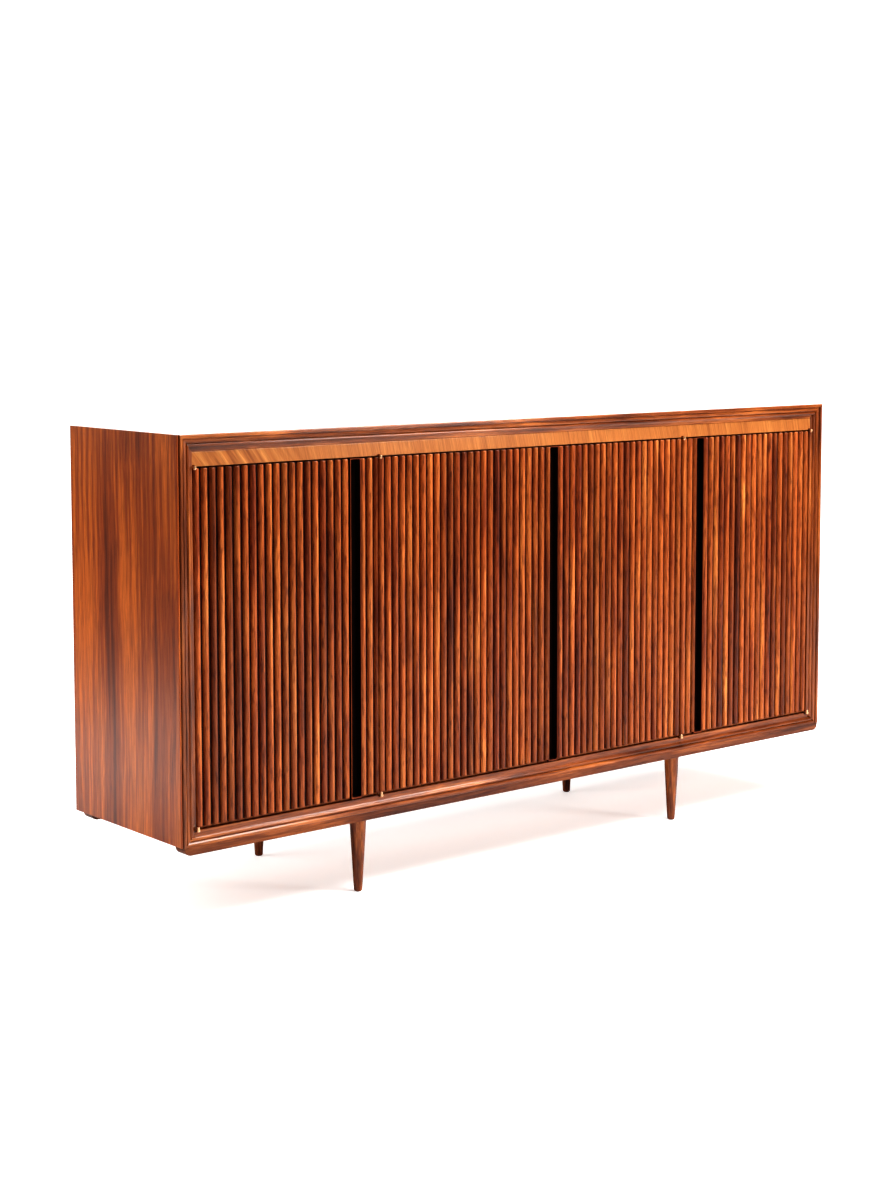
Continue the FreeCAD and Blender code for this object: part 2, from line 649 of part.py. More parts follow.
def back_screws():
    """Round-headed screws round the edge of the back panel."""
    screws = []
    for x, z in screw_spots():
        head = rod(x, BACK_FACE, z, "screw_head", "screw_head_high", "y")
        shank = rod(x, f"{BACK_FACE} - screw_long", z, "screw_shank", "screw_long", "y")
        screws.append(together([head, shank]))
    node(together(screws, "Part::Compound"), "back_screws")


def write_parts():
    """Checks every object and writes one STEP file per sub-part."""
    doc.recompute()
    for thing in doc.Objects:
        if "Invalid" in thing.State or "Error" in thing.State:
            raise SystemExit(f"{thing.Label} did not recompute")
    os.makedirs("parts", exist_ok=True)
    for thing in NODES:
        shape = thing.Shape
        if shape.isNull() or not shape.isValid() or not shape.Solids:
            raise SystemExit(f"{thing.Label} has no sound shape")
        shape.exportStep(f"parts/{thing.Label}.step")
    print(f"{len(NODES)} sub-parts written")


case_panels()
shelves()
front_frame()
frieze()
fixed_pivots()
for name in DOORS:
    door_core(name)
    door_reeds(name)
    door_pivots(name)
    door_strike(name)
    if DOORS[name][3]:
        door_pull(name)
catches()
base()
back_screws()
write_parts()
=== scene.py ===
"""A long sideboard with reeded doors: its finishes, small brass and steel fittings, and a plain studio."""
import math
import bmesh
import bpy
from mathutils import Matrix, Vector


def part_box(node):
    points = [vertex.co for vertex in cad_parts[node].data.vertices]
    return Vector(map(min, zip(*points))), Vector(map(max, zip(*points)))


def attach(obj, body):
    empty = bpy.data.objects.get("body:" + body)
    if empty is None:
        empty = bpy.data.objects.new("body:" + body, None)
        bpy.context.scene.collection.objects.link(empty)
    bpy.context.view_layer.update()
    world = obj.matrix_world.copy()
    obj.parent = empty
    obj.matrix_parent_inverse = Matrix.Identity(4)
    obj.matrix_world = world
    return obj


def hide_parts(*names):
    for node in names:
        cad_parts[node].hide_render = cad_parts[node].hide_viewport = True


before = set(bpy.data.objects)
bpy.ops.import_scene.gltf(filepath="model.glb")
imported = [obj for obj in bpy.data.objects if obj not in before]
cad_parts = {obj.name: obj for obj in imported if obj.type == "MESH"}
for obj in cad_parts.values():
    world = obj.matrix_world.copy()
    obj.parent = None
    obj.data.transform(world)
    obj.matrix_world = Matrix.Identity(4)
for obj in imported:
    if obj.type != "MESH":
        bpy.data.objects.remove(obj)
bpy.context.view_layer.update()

DOORS = ("door_1", "door_2", "door_3", "door_4")
REED_PITCH = 0.0198
REED_HALF = 0.0073
FEW_REEDS = 4  # a field of no more reeds than this keeps REED_PITCH; a wider one shares its width out evenly
GAP_SHADE_DEPTH = 0.0005  # painted shade: how far behind its front face a door panel is painted near black, for the shaded gaps between the reeds
GAP_SHADE_FOOT = 0.0034  # and how far above its foot
LIP_DEPTH = 0.0008  # how far back the bright lip of a finger channel goes

# --- colours, linear --------------------------------------------------------------------------------

HONEY = (0.54, 0.178, 0.045, 1.0)
AMBER = (0.35, 0.090, 0.021, 1.0)
RUSSET = (0.17, 0.034, 0.010, 1.0)
UMBER = (0.070, 0.014, 0.006, 1.0)
SOOT = (0.016, 0.0045, 0.003, 1.0)


# --- small helpers for node trees -------------------------------------------------------------------


def add(tree, kind, settings=None, **inputs):
    """A new node. Each input is a plain value or another node's output; a digit stands for its place."""
    made = tree.nodes.new("ShaderNode" + kind)
    for name, value in (settings or {}).items():
        setattr(made, name, value)
    for name, value in inputs.items():
        place = name.replace("_", " ")
        socket = made.inputs[int(name[1:])] if name[1:].isdigit() else made.inputs[place]
        feed(tree, value, socket)
    return made


def feed(tree, value, socket):
    if isinstance(value, bpy.types.NodeSocket):
        tree.links.new(value, socket)
    else:
        socket.default_value = value


def maths(tree, operation, first, second=0.0, third=0.0, clamp=False):
    made = add(tree, "Math", {"operation": operation, "use_clamp": clamp}, i0=first, i1=second, i2=third)
    return made.outputs[0]


def blend(tree, how, factor, first, second):
    """Mixes two colours."""
    made = add(tree, "Mix", {"data_type": "RGBA", "blend_type": how}, i0=factor, i6=first, i7=second)
    return made.outputs[2]


def spread(tree, value, low, high, to_low=0.0, to_high=1.0):
    """Maps low..high to another range, clamped and eased."""
    settings = {"interpolation_type": "SMOOTHSTEP", "clamp": True}
    made = add(tree, "MapRange", settings, Value=value, From_Min=low, From_Max=high, To_Min=to_low,
               To_Max=to_high)
    return made.outputs[0]


def grey(tree, value):
    """A colour with one value in all its channels."""
    return add(tree, "CombineColor", i0=value, i1=value, i2=value).outputs[0]


def new_group(name, inputs, outputs):
    group = bpy.data.node_groups.new(name, "ShaderNodeTree")
    for side, sockets in (("INPUT", inputs), ("OUTPUT", outputs)):
        for label, kind in sockets:
            group.interface.new_socket(label, in_out=side, socket_type="NodeSocket" + kind)
    start = group.nodes.new("NodeGroupInput").outputs
    end = group.nodes.new("NodeGroupOutput").inputs
    return group, start, end


# --- shared effects ---------------------------------------------------------------------------------

# Each layer of the grain is noise drawn out along Z: so many features to the metre across the grain and along
# it, an offset to the seed, then the noise's detail and twist.
GRAIN_LAYERS = {
    "broad": (15.0, 0.75, 0.0, 3.0, 0.25),
    "narrow": (95.0, 1.6, 7.3, 4.0, 0.15),
    "fine": (620.0, 9.0, 3.1, 2.0, 0.0),
    "vein": (42.0, 1.1, 19.7, 5.0, 0.9),
    "pore": (1500.0, 46.0, 11.9, 1.0, 0.0),
    "blotch": (210.0, 30.0, 27.1, 6.0, 0.3),
}
LAYER_ROUGHNESS = 0.55
SWAY = (0.022, 0.022, 0.0)  # metres by which the grain wanders off straight, across it only

# The levels of noise between which one thing turns into another.
DARK_TO_MIDDLE = (0.12, 0.52)
MIDDLE_TO_LIGHT = (0.48, 0.86)
VEIN_EDGE = (0.54, 0.70)
BLOTCH_EDGE = (0.49, 0.66)
PORE_EDGE = (0.62, 0.74)
DULLING_EDGE = (0.35, 0.70)
DUST_EDGE = (0.50, 0.80)

BROAD_SHARE, NARROW_SHARE = 0.55, 0.45
FLECK_SHADE = (0.55, 1.42)  # how far the finest streaks darken and lighten the wood
PORE_COLOUR = (0.30, 0.22, 0.20, 1.0)
PORE_SHARE = 0.55
FINE_RELIEF, PORE_RELIEF = 0.5, -1.0
FINE_ROUGHNESS, PORE_ROUGHNESS = 0.16, 0.25

SECOND_TONE_OFFSET = 53.5
STRIP_SEED_SPAN = 90.0


def layer(tree, vector, seed, name):
    """One layer of the grain."""
    across, along, offset, detail, twist = GRAIN_LAYERS[name]
    scaled = add(tree, "VectorMath", {"operation": "MULTIPLY"}, i0=vector, i1=(across, across, along))
    noise = add(tree, "TexNoise", {"noise_dimensions": "4D"}, Vector=scaled.outputs[0],
                W=maths(tree, "ADD", seed, offset), Scale=1.0, Detail=detail, Roughness=LAYER_ROUGHNESS,
                Distortion=twist)
    return noise.outputs["Fac"]


def make_wood_grain():
    """Open-pored hardwood with the grain along Z: broad bands, narrow streaks, dark veins and pores."""
    group, start, end = new_group(
        "wood grain",
        [("Vector", "Vector"), ("Seed", "Float"), ("Light", "Color"), ("Middle", "Color"), ("Dark", "Color"),
         ("Vein", "Color"), ("Band", "Float"), ("Contrast", "Float"), ("Veins", "Float"),
         ("Mottle", "Float"), ("Shortness", "Float")],
        [("Color", "Color"), ("Height", "Float"), ("Roughness", "Float")])
    vector, seed = start["Vector"], start["Seed"]
    slow = add(group, "TexNoise", {"noise_dimensions": "4D"}, Vector=vector, W=seed, Scale=3.0, Detail=1.0)
    sway = add(group, "VectorMath", {"operation": "MULTIPLY_ADD"}, i0=slow.outputs["Color"], i1=SWAY,
               i2=vector)
    shortened = add(group, "CombineXYZ", X=1.0, Y=1.0, Z=start["Shortness"]).outputs[0]
    swayed = add(group, "VectorMath", {"operation": "MULTIPLY"}, i0=sway.outputs[0], i1=shortened).outputs[0]
    bent = add(group, "VectorMath", {"operation": "SCALE"}, i0=swayed, Scale=start["Band"]).outputs[0]
    broad = layer(group, bent, seed, "broad")
    narrow, fine, vein, pore = [layer(group, swayed, seed, name)
                                for name in ("narrow", "fine", "vein", "pore")]
    blotch = layer(group, vector, seed, "blotch")

    mixed = maths(group, "MULTIPLY_ADD", narrow, NARROW_SHARE, maths(group, "MULTIPLY", broad, BROAD_SHARE))
    centred = maths(group, "SUBTRACT", mixed, 0.5)
    level = maths(group, "MULTIPLY_ADD", centred, start["Contrast"], 0.5, clamp=True)
    tone = blend(group, "MIX", spread(group, level, *DARK_TO_MIDDLE), start["Dark"], start["Middle"])
    tone = blend(group, "MIX", spread(group, level, *MIDDLE_TO_LIGHT), tone, start["Light"])
    for figure, edge, amount in ((vein, VEIN_EDGE, "Veins"), (blotch, BLOTCH_EDGE, "Mottle")):
        mask = maths(group, "MULTIPLY", spread(group, figure, *edge), start[amount])
        tone = blend(group, "MIX", mask, tone, start["Vein"])
    fleck = add(group, "MapRange", {"clamp": True}, Value=fine, From_Min=0.25, From_Max=0.75,
                To_Min=FLECK_SHADE[0], To_Max=FLECK_SHADE[1]).outputs[0]
    tone = blend(group, "MULTIPLY", 1.0, tone, grey(group, fleck))
    pore_mask = spread(group, pore, *PORE_EDGE)
    tone = blend(group, "MULTIPLY", maths(group, "MULTIPLY", pore_mask, PORE_SHARE), tone, PORE_COLOUR)
    group.links.new(tone, end["Color"])
    for label, from_fine, from_pore in (("Height", FINE_RELIEF, PORE_RELIEF),
                                        ("Roughness", FINE_ROUGHNESS, PORE_ROUGHNESS)):
        pitted = maths(group, "MULTIPLY", pore_mask, from_pore)
        group.links.new(maths(group, "MULTIPLY_ADD", fine, from_fine, pitted), end[label])
    return group


def make_strip_picker():
    """Tells strips laid side by side along X apart: a steady random number for each one."""
    group, start, end = new_group(
        "strip picker",
        [("Vector", "Vector"), ("First edge", "Float"), ("Pitch", "Float"), ("Seed", "Float")],
        [("Tone", "Float"), ("Second tone", "Float"), ("Strip seed", "Float")])
    across = add(group, "SeparateXYZ", Vector=start["Vector"]).outputs[0]
    turns = maths(group, "DIVIDE", maths(group, "SUBTRACT", across, start["First edge"]), start["Pitch"])
    index = maths(group, "ADD", maths(group, "FLOOR", turns), start["Seed"])
    first = add(group, "TexWhiteNoise", {"noise_dimensions": "1D"}, W=index)
    second = add(group, "TexWhiteNoise", {"noise_dimensions": "1D"},
                 W=maths(group, "ADD", index, SECOND_TONE_OFFSET))
    group.links.new(first.outputs["Value"], end["Tone"])
    group.links.new(second.outputs["Value"], end["Second tone"])
    strip_seed = maths(group, "MULTIPLY", first.outputs["Value"], STRIP_SEED_SPAN)
    group.links.new(strip_seed, end["Strip seed"])
    return group


def make_hand_wear():
    """Slow patches of dulled and polished lacquer, as years of dusting leave them."""
    group, start, end = new_group("hand wear", [("Vector", "Vector"), ("Seed", "Float")],
                                  [("Dulling", "Float"), ("Dust", "Float")])
    for label, scale, detail, edge in (("Dulling", 5.0, 4.0, DULLING_EDGE), ("Dust", 160.0, 3.0, DUST_EDGE)):
        noise = add(group, "TexNoise", {"noise_dimensions": "4D"}, Vector=start["Vector"], W=start["Seed"],
                    Scale=scale, Detail=detail)
        group.links.new(spread(group, noise.outputs["Fac"], *edge), end[label])
    return group


WOOD_GRAIN = make_wood_grain()
STRIP_PICKER = make_strip_picker()
HAND_WEAR = make_hand_wear()


# --- materials --------------------------------------------------------------------------------------

GRAIN_RELIEF = 0.00016  # metres of relief for each unit of height in the grain
LACQUER_IOR, LACQUER_SPECULAR, COAT_IOR = 1.45, 0.10, 1.42
DULLED, DUSTED = 0.10, 0.04  # how much roughness wear and dust add
PANEL_GLOSS, PANEL_COAT = 0.5, 0.15
REED_GLOSS, REED_COAT = 0.34, 0.5
REED_TONES = (0.45, 1.10)  # from bright reeds to sombre ones
REED_SHADES = (0.45, 0.78)  # the span of shades between reeds, and the darkest
FIELD_SEED_STEP = 61.0
FRIEZE_SLANT, FRIEZE_CLOUD = 38.0, 14.0  # degrees that the grain leans
FRIEZE_CHANGE = (0.10, 0.38)  # metres from its left end where the slanting grain gives way to the cloudy
TARNISH_SHADE, TARNISH_SHARE = 0.45, 0.5
SCRATCH_SCALE, SCRATCH_ROUGHNESS, SCRATCH_RELIEF = 2600.0, 0.18, 0.00004


def new_material(name):
    """A material with its own shader, and the object's coordinates."""
    made = bpy.data.materials.new(name)
    made.use_nodes = True
    tree = made.node_tree
    shader = tree.nodes["Principled BSDF"]
    place = add(tree, "TexCoord").outputs["Object"]
    return made, tree, shader, place


def grown_along(tree, place, grain, turn=0.0):
    """Turns coordinates so that the wood's grain runs along an axis of the object."""
    angles = {"z": (0.0, 0.0, 0.0), "x": (0.0, math.radians(90.0), 0.0), "y": (math.radians(90.0), 0.0, 0.0)}
    x, y, z = angles[grain]
    return add(tree, "Mapping", Vector=place, Rotation=(x, y + math.radians(turn), z)).outputs[0]


def grain_node(tree, vector, seed, colours, band=1.0, contrast=2.2, veins=0.5, mottle=0.0, shortness=1.0):
    light, middle, dark, vein = colours
    group = add(tree, "Group", {"node_tree": WOOD_GRAIN}, Vector=vector, Seed=seed, Light=light,
                Middle=middle, Dark=dark, Vein=vein, Band=band, Contrast=contrast, Veins=veins,
                Mottle=mottle, Shortness=shortness)
    return group.outputs


def lacquer(tree, shader, place, colour, height, rough, seed, gloss, coat, coat_rough=0.13):
    """The clear satin lacquer over the wood: roughness, faint relief and a glossier top coat."""
    wear = add(tree, "Group", {"node_tree": HAND_WEAR}, Vector=place, Seed=seed).outputs
    dull = maths(tree, "MULTIPLY_ADD", wear["Dulling"], DULLED, maths(tree, "ADD", rough, gloss))
    tree.links.new(colour, shader.inputs["Base Color"])
    tree.links.new(maths(tree, "MULTIPLY_ADD", wear["Dust"], DUSTED, dull), shader.inputs["Roughness"])
    bump = add(tree, "Bump", Height=height, Strength=0.5, Distance=GRAIN_RELIEF)
    tree.links.new(bump.outputs[0], shader.inputs["Normal"])
    shader.inputs["IOR"].default_value = LACQUER_IOR
    shader.inputs["Specular IOR Level"].default_value = LACQUER_SPECULAR
    shader.inputs["Coat Weight"].default_value = coat
    shader.inputs["Coat Roughness"].default_value = coat_rough
    shader.inputs["Coat IOR"].default_value = COAT_IOR


def wood(name, grain, seed, colours, gloss=0.34, coat=0.6, coat_rough=0.13, **figure):
    """A lacquered wood of one colour family."""
    made, tree, shader, place = new_material(name)
    out = grain_node(tree, grown_along(tree, place, grain), seed, colours, **figure)
    lacquer(tree, shader, place, out["Color"], out["Height"], out["Roughness"], seed, gloss, coat, coat_rough)
    return made


def choose(tree, mask, first, second):
    """The first value where the mask is 0, the second where it is 1."""
    return add(tree, "Mix", {"data_type": "FLOAT"}, i0=mask, i2=first, i3=second).outputs[0]


def reed_field(low, high):
    """Where the strips between two planes X begin, and how far apart they lie."""
    count = round((high - low) / REED_PITCH)
    if count > FEW_REEDS:
        return low, (high - low) / count
    return low + REED_HALF - REED_PITCH / 2, REED_PITCH


def picked_strips(tree, place, door, seed):
    """Tone, second tone and seed of each reed, on both sides of the door's finger channel."""
    low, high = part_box(f"{door}_core")[0][0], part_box(f"{door}_core")[1][0]
    fields, beyond = [(low, high)], 0.0
    if f"{door}_pull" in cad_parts:
        start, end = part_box(f"{door}_pull")[0][0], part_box(f"{door}_pull")[1][0]
        fields = [(low, start), (end, high)]
        across = add(tree, "SeparateXYZ", Vector=place).outputs[0]
        beyond = maths(tree, "GREATER_THAN", across, (start + end) / 2)
    found = []
    for turn, field in enumerate(fields):
        first_edge, pitch = reed_field(*field)
        found.append(add(tree, "Group", {"node_tree": STRIP_PICKER}, Vector=place, First_edge=first_edge,
                         Pitch=pitch, Seed=seed + FIELD_SEED_STEP * turn).outputs)
    wanted = ("Tone", "Second tone", "Strip seed")
    return [choose(tree, beyond, found[0][name], found[-1][name]) for name in wanted]


def reed_wood(door, seed):
    """Half-round strips cut from mixed boards, each with its own tone, grain, blotches and dark veins."""
    made, tree, shader, place = new_material(f"reeds {door}")
    tone, second_tone, strip_seed = picked_strips(tree, place, door, seed)
    bright = grain_node(tree, place, strip_seed, (HONEY, AMBER, RUSSET, UMBER), band=1.8, contrast=2.8,
                        veins=0.55, mottle=0.55, shortness=2.2)
    sombre = grain_node(tree, place, strip_seed, (AMBER, RUSSET, UMBER, SOOT), band=1.8, contrast=3.0,
                        veins=0.7, mottle=0.60, shortness=2.2)
    colour = blend(tree, "MIX", spread(tree, tone, *REED_TONES), bright["Color"], sombre["Color"])
    shade = maths(tree, "MULTIPLY_ADD", second_tone, *REED_SHADES)
    colour = blend(tree, "MULTIPLY", 1.0, colour, grey(tree, shade))
    lacquer(tree, shader, place, colour, bright["Height"], bright["Roughness"], seed, REED_GLOSS, REED_COAT)
    return made


def frieze_wood():
    """Lighter board over the doors: slanting grain at one end, cloudy cross figure along the rest."""
    made, tree, shader, place = new_material("frieze board")
    steep, slight = [grown_along(tree, place, "z", lean) for lean in (FRIEZE_SLANT, FRIEZE_CLOUD)]
    slant = grain_node(tree, steep, 4.0, FRIEZE_COLOURS, band=3.0, contrast=2.8, veins=0.3, mottle=0.25)
    cloud = grain_node(tree, slight, 9.0, FRIEZE_COLOURS, band=2.2, contrast=1.2, veins=0.1, mottle=0.12)
    across = add(tree, "SeparateXYZ", Vector=place).outputs[0]
    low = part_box("frieze_board")[0][0]
    part = spread(tree, across, *[low + reach for reach in FRIEZE_CHANGE])
    colour = blend(tree, "MIX", part, slant["Color"], cloud["Color"])
    lacquer(tree, shader, place, colour, slant["Height"], slant["Roughness"], 5.0, gloss=0.32, coat=0.4)
    return made


def two_part_wood(name, seed, shown, hidden, seam_y, foot_z=None):
    """Wood of one colour ahead of a plane Y and above any height Z given, and of another elsewhere."""
    made, tree, shader, place = new_material(name)
    first = grain_node(tree, place, seed, shown, band=1.5, contrast=2.0, veins=0.3, mottle=0.1)
    second = grain_node(tree, place, seed, hidden, band=1.0, contrast=1.8, veins=0.3, mottle=0.1)
    spot = add(tree, "SeparateXYZ", Vector=place).outputs
    mask = maths(tree, "GREATER_THAN", spot[1], seam_y)
    if foot_z is not None:
        mask = maths(tree, "MAXIMUM", mask, maths(tree, "LESS_THAN", spot[2], foot_z))
    colour = blend(tree, "MIX", mask, first["Color"], second["Color"])
    lacquer(tree, shader, place, colour, first["Height"], first["Roughness"], seed, PANEL_GLOSS, PANEL_COAT)
    return made


def metal(name, colour, rough, seed):
    """Worn metal with fine scratches and darker tarnish in patches."""
    made, tree, shader, place = new_material(name)
    wear = add(tree, "Group", {"node_tree": HAND_WEAR}, Vector=place, Seed=seed).outputs
    dark = tuple(part * TARNISH_SHADE for part in colour[:3]) + (1.0,)
    tarnish = maths(tree, "MULTIPLY", wear["Dulling"], TARNISH_SHARE)
    tree.links.new(blend(tree, "MIX", tarnish, colour, dark), shader.inputs["Base Color"])
    scratch = add(tree, "TexNoise", Vector=place, Scale=SCRATCH_SCALE, Detail=3.0).outputs["Fac"]
    scratched = maths(tree, "MULTIPLY_ADD", scratch, SCRATCH_ROUGHNESS, rough)
    tree.links.new(scratched, shader.inputs["Roughness"])
    bump = add(tree, "Bump", Height=scratch, Strength=0.3, Distance=SCRATCH_RELIEF)
    tree.links.new(bump.outputs[0], shader.inputs["Normal"])
    shader.inputs["Metallic"].default_value = 1.0
    return made


CASE_COLOURS = ((0.56, 0.140, 0.019, 1.0), (0.31, 0.062, 0.010, 1.0), (0.13, 0.025, 0.006, 1.0), UMBER)
TOP_COLOURS = ((0.26, 0.070, 0.013, 1.0), (0.16, 0.036, 0.008, 1.0), (0.080, 0.017, 0.005, 1.0), UMBER)
LINING_COLOURS = ((0.30, 0.105, 0.034, 1.0), (0.20, 0.062, 0.019, 1.0), (0.11, 0.030, 0.010, 1.0), RUSSET)
FRAME_COLOURS = ((0.44, 0.140, 0.035, 1.0), (0.21, 0.054, 0.013, 1.0), (0.075, 0.018, 0.006, 1.0), UMBER)
RAIL_COLOURS = ((0.28, 0.084, 0.022, 1.0), (0.145, 0.037, 0.010, 1.0), (0.058, 0.014, 0.005, 1.0), UMBER)
LEG_COLOURS = ((0.36, 0.110, 0.027, 1.0), (0.17, 0.042, 0.011, 1.0), (0.045, 0.011, 0.005, 1.0), SOOT)
INSIDE_COLOURS = ((0.50, 0.22, 0.085, 1.0), (0.38, 0.15, 0.055, 1.0), (0.25, 0.085, 0.030, 1.0), RUSSET)
BACK_COLOURS = ((0.45, 0.25, 0.12, 1.0), (0.36, 0.19, 0.085, 1.0), (0.26, 0.12, 0.050, 1.0), RUSSET)
# Painted shade: near-black colours for a door panel's face between the reeds, standing in for the shade that
# falls into those gaps.
GAP_SHADE_COLOURS = ((0.030, 0.007, 0.004, 1.0), (0.018, 0.005, 0.003, 1.0), (0.009, 0.003, 0.002, 1.0), SOOT)
FRIEZE_COLOURS = ((0.48, 0.196, 0.055, 1.0), (0.35, 0.124, 0.032, 1.0), (0.19, 0.055, 0.015, 1.0), RUSSET)
HOLLOW_COLOURS = ((0.016, 0.004, 0.002, 1.0), (0.010, 0.003, 0.0015, 1.0), (0.006, 0.002, 0.001, 1.0), SOOT)


def paint(material, *nodes):
    for name in nodes:
        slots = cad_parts[name].data.materials
        if not slots:
            slots.append(material)
        for place in range(len(slots)):
            slots[place] = material


def paint_case():
    side = {"band": 0.55, "contrast": 3.4, "veins": 0.22, "shortness": 1.4, "coat": 0.7}
    paint(wood("case veneer", "z", 2.0, CASE_COLOURS, gloss=0.30, **side), "side_panel_left")
    paint(wood("case veneer right", "z", 31.0, CASE_COLOURS, gloss=0.30, **side), "side_panel_right")
    paint(wood("top veneer", "x", 12.0, TOP_COLOURS, gloss=0.12, coat=1.0, band=0.6, contrast=2.6, veins=0.3),
          "top_panel")
    edge = {"band": 2.4, "contrast": 2.8, "veins": 0.6, "mottle": 0.22, "shortness": 2.0, "coat": 0.8,
            "coat_rough": 0.10}
    paint(wood("frame upright left", "z", 21.0, FRAME_COLOURS, gloss=0.24, **edge), "frame_left")
    paint(wood("frame upright right", "z", 23.0, FRAME_COLOURS, gloss=0.24, **edge), "frame_right")
    paint(wood("frame head", "x", 25.0, FRAME_COLOURS, gloss=0.22, **edge), "frame_top")
    paint(wood("frame foot", "x", 27.0, FRAME_COLOURS, gloss=0.22, **edge), "frame_bottom")
    paint(frieze_wood(), "frieze_board")
    paint(wood("base rails", "x", 29.0, RAIL_COLOURS, coat=0.45, band=2.0, contrast=3.0, veins=0.7,
               mottle=0.3, shortness=2.0), "base_rail_front", "base_rail_back")
    legs = [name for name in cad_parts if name.startswith("leg_") and name != "leg_studs"]
    paint(wood("turned legs", "z", 33.0, LEG_COLOURS, gloss=0.28, band=2.0, contrast=3.2, veins=0.6,
               mottle=0.3, shortness=3.0), *legs)
    plain = {"gloss": 0.42, "contrast": 1.6, "veins": 0.2, "coat": 0.1}
    paint(wood("inside veneer", "z", 35.0, INSIDE_COLOURS, **plain), "partition_left", "partition_right")
    paint(wood("shelf veneer", "x", 37.0, INSIDE_COLOURS, **plain), "bottom_panel", "shelf_left",
          "shelf_centre", "shelf_right", "top_rail")
    paint(wood("back board", "x", 39.0, BACK_COLOURS, gloss=0.62, coat=0.0, band=0.8, contrast=1.4,
               veins=0.15), "back_panel")


def paint_doors():
    for number, door in enumerate(DOORS):
        paint(reed_wood(door, 100.0 + 40.0 * number), f"{door}_reeds")
        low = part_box(f"{door}_core")[0]
        # Each panel's face between the reeds is painted near black as shade for the gaps; its foot and the
        # faces behind keep the lining wood.
        panel = two_part_wood(f"door panel {door}", 60.0 + number, GAP_SHADE_COLOURS, LINING_COLOURS,
                              low[1] + GAP_SHADE_DEPTH, low[2] + GAP_SHADE_FOOT)
        paint(panel, f"{door}_core")
        if f"{door}_pull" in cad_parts:
            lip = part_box(f"{door}_pull")[0][1] + LIP_DEPTH
            channel = two_part_wood(f"finger channel {door}", 70.0 + number, (AMBER, RUSSET, UMBER, SOOT),
                                    HOLLOW_COLOURS, lip)
            paint(channel, f"{door}_pull")


def paint_fittings():
    brass = metal("brass", (0.95, 0.62, 0.36, 1.0), rough=0.22, seed=3.0)
    paint(brass, "fixed_pivots", *[f"{door}_pivots" for door in DOORS])
    steel = metal("zinc plated steel", (0.60, 0.59, 0.57, 1.0), rough=0.28, seed=8.0)
    screw_heads(steel)
    paint(steel, "back_screws", "leg_studs", "shelf_pegs", "door_catches")
    paint(steel, *[f"{door}_strike" for door in DOORS])


# --- screw heads ------------------------------------------------------------------------------------

HEAD_ROUND = 0.0036
HEAD_SEGMENTS = 16
HEAD_STEPS = ((0.00002, 0.0007), (0.0007, 0.0004), (0.0010, 0.0001))  # each step in from the rim, and out
RECESS_WAIST = 0.42
RECESS_DEPTH = 0.0008
SCREW_INSET, SCREW_PITCH, SCREW_RISE = 0.005, 0.310, 0.206


def screw_head(shape, x, z, face):
    """One pan head on a plane Y, facing +Y: a short wall, a sloped rim and a four-pointed recess."""
    ring = bmesh.ops.create_circle(shape, cap_ends=True, segments=HEAD_SEGMENTS, radius=HEAD_ROUND)["verts"]
    made = set(ring)
    cap = ring[0].link_faces[0]
    for inward, outward in HEAD_STEPS:
        bmesh.ops.inset_individual(shape, faces=[cap], thickness=inward, depth=outward, use_even_offset=True)
        made.update(cap.verts)
    centre = cap.calc_center_median()
    for place, corner in enumerate(cap.verts):
        if place % 4:
            corner.co = centre + (corner.co - centre) * RECESS_WAIST
    grown = bmesh.ops.extrude_face_region(shape, geom=[cap])["geom"]
    sunk = [part for part in grown if isinstance(part, bmesh.types.BMVert)]
    bmesh.ops.translate(shape, verts=sunk, vec=(0.0, 0.0, -RECESS_DEPTH))
    made.update(sunk)
    shape.verts.ensure_lookup_table()
    turn = Matrix.Translation((x, face, z)) @ Matrix.Rotation(math.radians(-90.0), 4, "X")
    bmesh.ops.transform(shape, matrix=turn, verts=list(made))


def screw_heads(material):
    """The twenty heads round the back panel, each standing on the panel's face."""
    low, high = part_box("back_panel")
    ends, rows = [(low[axis] + SCREW_INSET, high[axis] - SCREW_INSET) for axis in (0, 2)]
    spots = [(step * SCREW_PITCH, z) for step in range(-3, 4) for z in rows]
    spots += [(x, low[2] + step * SCREW_RISE) for step in range(1, 4) for x in ends]
    shape = bmesh.new()
    for x, z in spots:
        screw_head(shape, x, z, high[1])
    bmesh.ops.recalc_face_normals(shape, faces=shape.faces[:])
    mesh = bpy.data.meshes.new("screw_heads")
    shape.to_mesh(mesh)
    shape.free()
    heads = bpy.data.objects.new("screw_heads", mesh)
    bpy.context.scene.collection.objects.link(heads)
    mesh.materials.append(material)
    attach(heads, "case")
    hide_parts("back_screws")


# --- studio -----------------------------------------------------------------------------------------

FLOOR_HALF = 40.0
FLOOR_FADE = (1.0, 5.0)  # metres from the middle of the floor between which its own glow rises
FLOOR_GLOW = (0.37, 1.05)
AWAY = (0.64, 0.76, 0.0)  # the way from the camera past the case
WALL_FADE = (0.70, 0.95)  # cosines of the angle from it
WALL_LIGHT = (0.035, 1.7)
CAMERA_PLACE = (-3.2495, -3.7824, 1.2993)
CAMERA_DIP, CAMERA_TURN = 4.916, -40.144  # degrees


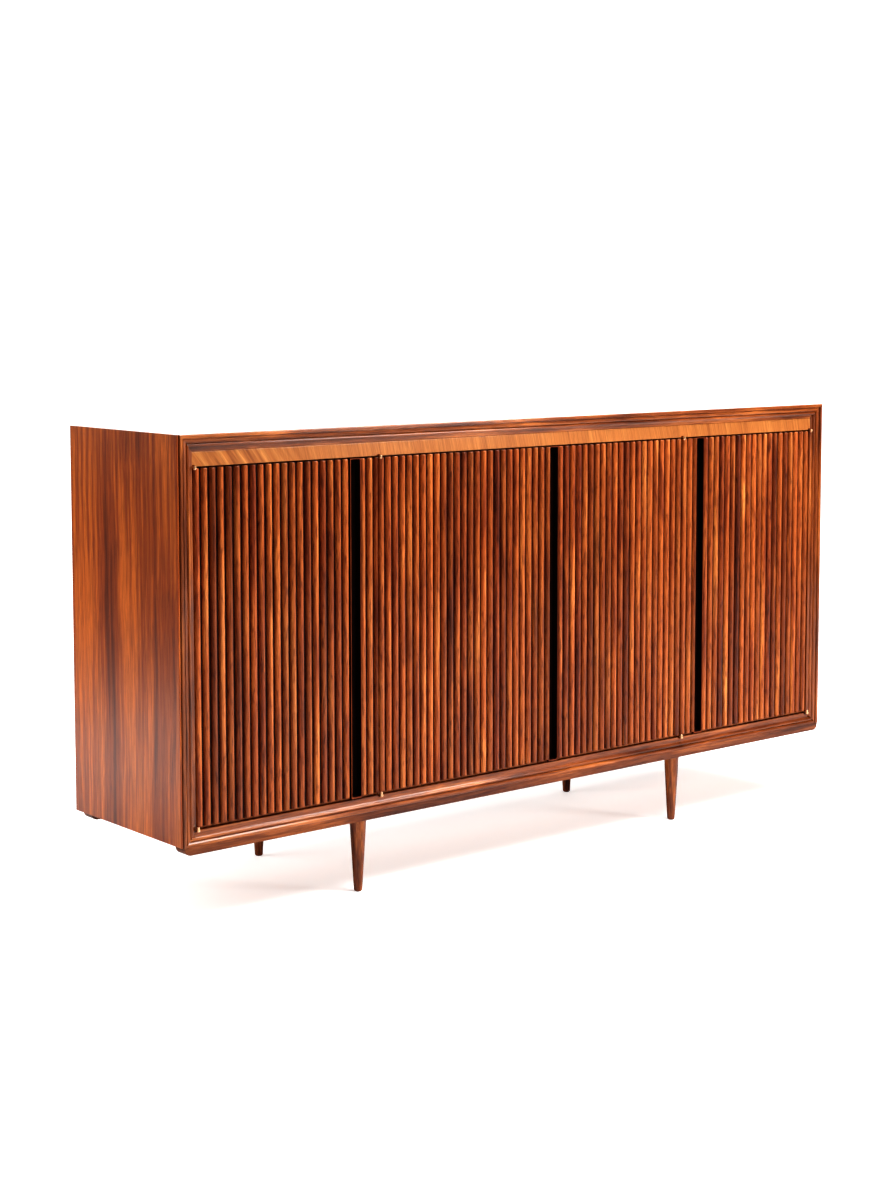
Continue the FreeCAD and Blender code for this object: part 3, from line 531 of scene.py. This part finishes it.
def floor():
    """One wide white sheet of floor. It looks evenly white, while the wood sees only its lit middle."""
    shape = bmesh.new()
    bmesh.ops.create_grid(shape, x_segments=8, y_segments=8, size=FLOOR_HALF)
    mesh = bpy.data.meshes.new("floor")
    shape.to_mesh(mesh)
    shape.free()
    made = bpy.data.objects.new("floor", mesh)
    bpy.context.scene.collection.objects.link(made)
    white, tree, shader, place = new_material("white floor")
    shader.inputs["Base Color"].default_value = (0.90, 0.89, 0.88, 1.0)
    shader.inputs["Roughness"].default_value = 0.9
    shader.inputs["Specular IOR Level"].default_value = 0.0
    shader.inputs["Emission Color"].default_value = (1.0, 1.0, 1.0, 1.0)
    seen = add(tree, "LightPath").outputs["Is Camera Ray"]
    reach = add(tree, "VectorMath", {"operation": "LENGTH"}, i0=place).outputs["Value"]
    white_to_look_at = spread(tree, reach, *FLOOR_FADE, *FLOOR_GLOW)
    tree.links.new(maths(tree, "MULTIPLY", seen, white_to_look_at), shader.inputs["Emission Strength"])
    mesh.materials.append(white)


def soft_light(name, place, aim, size, power):
    lamp = bpy.data.lights.new(name, "AREA")
    lamp.shape = "RECTANGLE"
    lamp.size, lamp.size_y = size
    lamp.energy = power
    made = bpy.data.objects.new(name, lamp)
    bpy.context.scene.collection.objects.link(made)
    made.location = place
    made.rotation_euler = (Vector(aim) - Vector(place)).to_track_quat("-Z", "Y").to_euler()


def white_room():
    """Evenly white to look at. As light it is dim, but for a bright wall far behind the case."""
    world = bpy.data.worlds.new("white room")
    bpy.context.scene.world = world
    world.use_nodes = True
    tree = world.node_tree
    toward = add(tree, "TexCoord").outputs["Generated"]
    behind = add(tree, "VectorMath", {"operation": "DOT_PRODUCT"}, i0=toward, i1=AWAY)
    wall = spread(tree, behind.outputs["Value"], *WALL_FADE, *WALL_LIGHT)
    seen = add(tree, "LightPath").outputs["Is Camera Ray"]
    tree.links.new(maths(tree, "MAXIMUM", seen, wall), tree.nodes["Background"].inputs["Strength"])
    tree.nodes["Background"].inputs["Color"].default_value = (1.0, 1.0, 1.0, 1.0)


def studio():
    floor()
    white_room()
    soft_light("overhead", (0.9, -0.8, 3.0), (0.3, -0.1, 0.4), size=(3.6, 1.2), power=185.0)
    soft_light("front", (2.6, -4.0, 1.6), (0.3, 0.0, 0.6), size=(1.2, 1.6), power=112.0)
    soft_light("left", (-3.9, 1.5, 1.9), (-1.0, 0.0, 0.6), size=(2.0, 2.0), power=25.0)
    soft_light("floor behind", (-1.9, 1.3, 1.1), (-1.8, 1.2, 0.0), size=(1.2, 1.2), power=19.0)
    bpy.context.scene.view_settings.view_transform = "Standard"
    bpy.context.scene.view_settings.look = "High Contrast"


def camera():
    lens = bpy.data.cameras.new("camera")
    lens.sensor_width = 36.0
    lens.lens = 62.34
    lens.shift_x = -0.0131
    lens.shift_y = -0.0980
    made = bpy.data.objects.new("camera", lens)
    bpy.context.scene.collection.objects.link(made)
    made.location = CAMERA_PLACE
    made.rotation_euler = (math.radians(90.0 - CAMERA_DIP), 0.0, math.radians(CAMERA_TURN))
    bpy.context.scene.camera = made


camera()
studio()
paint_case()
paint_doors()
paint_fittings()
